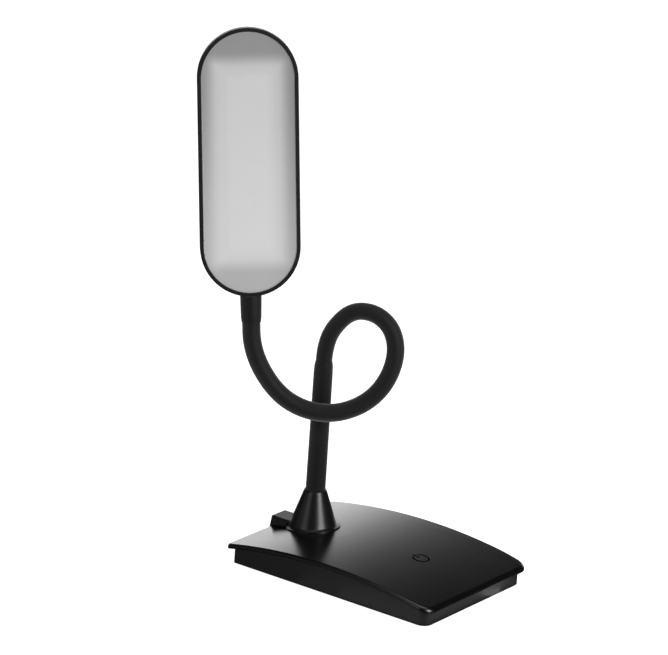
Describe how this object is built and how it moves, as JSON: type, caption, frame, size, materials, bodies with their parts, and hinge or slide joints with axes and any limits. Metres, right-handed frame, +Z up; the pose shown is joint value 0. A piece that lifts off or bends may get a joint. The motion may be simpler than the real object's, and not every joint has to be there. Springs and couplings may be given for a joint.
{
  "type": "led desk lamp",
  "caption": "Free-standing LED desk lamp: arched weighted base with a touch key, cone-footed stem, looped flexible neck and a flat stadium-shaped light head with an opal diffuser.",
  "frame": {"origin": "Centre of the resting face of the anti-slip pad under the base, on the surface that the lamp stands on.", "axes": "+Z up, -Y towards the user at the touch key's end of the base, +Y towards the stem and the power inlet, +X to the user's right; millimetres in the model, rest pose as in the picture."},
  "size_m": [0.1338, 0.2381, 0.3889],
  "materials": {
    "cover_black": "satin moulded",
    "icon_grey": "dull inlaid symbol",
    "tray_black": "fine moulded texture",
    "pad_rubber": "foam sheet",
    "ballast_steel": "zinc plated",
    "screw_steel": "zinc plated",
    "board_green": "solder mask",
    "spacer_brass": "turned",
    "component_black": "moulded",
    "foam_black": "conductive foam",
    "foil_copper": "foil",
    "cone_black": "satin moulded",
    "core_steel": "bare steel",
    "sleeve_black": "matt silicone",
    "cable_black": "insulated wire",
    "head_black": "fine moulded texture",
    "opal_diffuser": "opal, unlit",
    "spreader_aluminium": "sheet",
    "board_white": "white solder mask",
    "led_yellow": "phosphor",
    "reflector_white": "white",
    "collar_black": "moulded"
  },
  "bodies": {
    "base": {"base_cover": "cover_black", "touch_icon": "icon_grey", "base_tray": "tray_black", "anti_slip_pad": "pad_rubber", "ballast_plate": "ballast_steel", "cover_screws": "screw_steel", "ballast_screws": "screw_steel", "control_board": "board_green", "board_spacers": "spacer_brass", "board_screws": "screw_steel", "board_components": "component_black", "touch_pillar": "foam_black", "touch_electrode": "foil_copper", "neck_cone": "cone_black", "stem_washer": "screw_steel", "stem_nut": "screw_steel", "stem_tube": "core_steel", "stem_sleeve": "sleeve_black", "neck_sleeve": "sleeve_black", "neck_cable": "cable_black", "inlet_lead": "cable_black", "inlet_hood": "cover_black", "usb_socket_shell": "core_steel", "usb_socket_tongue": "component_black", "inlet_board": "board_green"},
    "neck_01": {"neck_link_01": "core_steel"},
    "neck_02": {"neck_link_02": "core_steel"},
    "neck_03": {"neck_link_03": "core_steel"},
    "neck_04": {"neck_link_04": "core_steel"},
    "neck_05": {"neck_link_05": "core_steel"},
    "neck_06": {"neck_link_06": "core_steel"},
    "neck_07": {"neck_link_07": "core_steel"},
    "neck_08": {"neck_link_08": "core_steel"},
    "neck_09": {"neck_link_09": "core_steel"},
    "neck_10": {"neck_link_10": "core_steel"},
    "neck_11": {"neck_link_11": "core_steel"},
    "neck_12": {"neck_link_12": "core_steel"},
    "neck_13": {"neck_link_13": "core_steel"},
    "neck_14": {"neck_link_14": "core_steel"},
    "head": {"head_rear_shell": "head_black", "head_bezel": "head_black", "diffuser": "opal_diffuser", "heat_spreader": "spreader_aluminium", "led_board": "board_white", "led_chips": "led_yellow", "reflector_dish": "reflector_white", "head_screws": "screw_steel", "head_wires": "cable_black", "neck_ferrule": "core_steel", "head_clip": "core_steel", "neck_collar": "collar_black"}
  },
  "joints": [
    {"name": "neck_lean", "type": "hinge", "parent": "base", "child": "neck_01", "pos_m": [0, 0.0596, 0.15], "axis": [0.5821, -0.8131, 0], "range_deg": [-20, 2], "deforming": ["neck_sleeve", "neck_cable"]},
    {"name": "neck_bend_01", "type": "hinge", "parent": "neck_01", "child": "neck_02", "pos_m": [0.0005, 0.05822, 0.1634], "axis": [0.9408, 0.3389, 0], "range_deg": [-31, 4], "deforming": ["neck_sleeve", "neck_cable"]},
    {"name": "neck_bend_02", "type": "hinge", "parent": "neck_02", "child": "neck_03", "pos_m": [0.00443, 0.04798, 0.18249], "axis": [0.8232, 0.5487, 0.1459], "range_deg": [-29, 4], "deforming": ["neck_sleeve", "neck_cable"]},
    {"name": "neck_bend_03", "type": "hinge", "parent": "neck_03", "child": "neck_04", "pos_m": [0.00986, 0.0378, 0.18866], "axis": [0.8824, 0.4697, -0.0287], "range_deg": [-39, 4], "deforming": ["neck_sleeve", "neck_cable"]},
    {"name": "neck_bend_04", "type": "hinge", "parent": "neck_04", "child": "neck_05", "pos_m": [0.01648, 0.02508, 0.18612], "axis": [0.8755, 0.4764, -0.0811], "range_deg": [-35, 4], "deforming": ["neck_sleeve", "neck_cable"]},
    {"name": "neck_bend_05", "type": "hinge", "parent": "neck_05", "child": "neck_06", "pos_m": [0.02067, 0.01537, 0.17535], "axis": [0.8414, 0.523, -0.1363], "range_deg": [-33, 4], "deforming": ["neck_sleeve", "neck_cable"]},
    {"name": "neck_bend_06", "type": "hinge", "parent": "neck_06", "child": "neck_07", "pos_m": [0.02025, 0.01146, 0.15823], "axis": [0.803, 0.5774, -0.1474], "range_deg": [-26, 4], "deforming": ["neck_sleeve", "neck_cable"]},
    {"name": "neck_bend_07", "type": "hinge", "parent": "neck_07", "child": "neck_08", "pos_m": [0.01394, 0.01502, 0.13809], "axis": [0.7829, 0.6071, -0.1361], "range_deg": [-25, 4], "deforming": ["neck_sleeve", "neck_cable"]},
    {"name": "neck_bend_08", "type": "hinge", "parent": "neck_08", "child": "neck_09", "pos_m": [0.00347, 0.0251, 0.12299], "axis": [0.7743, 0.6212, -0.1208], "range_deg": [-26, 4], "deforming": ["neck_sleeve", "neck_cable"]},
    {"name": "neck_bend_09", "type": "hinge", "parent": "neck_09", "child": "neck_10", "pos_m": [-0.01085, 0.04153, 0.11521], "axis": [0.7793, 0.6052, -0.1627], "range_deg": [-27, 4], "deforming": ["neck_sleeve", "neck_cable"]},
    {"name": "neck_bend_10", "type": "hinge", "parent": "neck_10", "child": "neck_11", "pos_m": [-0.02451, 0.05963, 0.11799], "axis": [0.7977, 0.6011, -0.0487], "range_deg": [-25, 4], "deforming": ["neck_sleeve", "neck_cable"]},
    {"name": "neck_bend_11", "type": "hinge", "parent": "neck_11", "child": "neck_12", "pos_m": [-0.03592, 0.0757, 0.13082], "axis": [0.8152, 0.5792, -0.0056], "range_deg": [-25, 4], "deforming": ["neck_sleeve", "neck_cable"]},
    {"name": "neck_sway", "type": "hinge", "parent": "neck_12", "child": "neck_13", "pos_m": [-0.04137, 0.08349, 0.14389], "axis": [0.4962, -0.6931, 0.5228], "range_deg": [-25, 25], "deforming": ["neck_sleeve", "neck_cable"]},
    {"name": "neck_bend_12", "type": "hinge", "parent": "neck_13", "child": "neck_14", "pos_m": [-0.04486, 0.08939, 0.15852], "axis": [0.6599, 0.7382, -0.14], "range_deg": [-27, 4], "deforming": ["neck_sleeve", "neck_cable"]},
    {"name": "head_nod", "type": "hinge", "parent": "neck_14", "child": "head", "pos_m": [-0.0454, 0.09268, 0.17329], "axis": [0.5801, -0.8102, 0.084], "range_deg": [-35, 35], "deforming": ["neck_sleeve", "neck_cable"]}
  ]
}
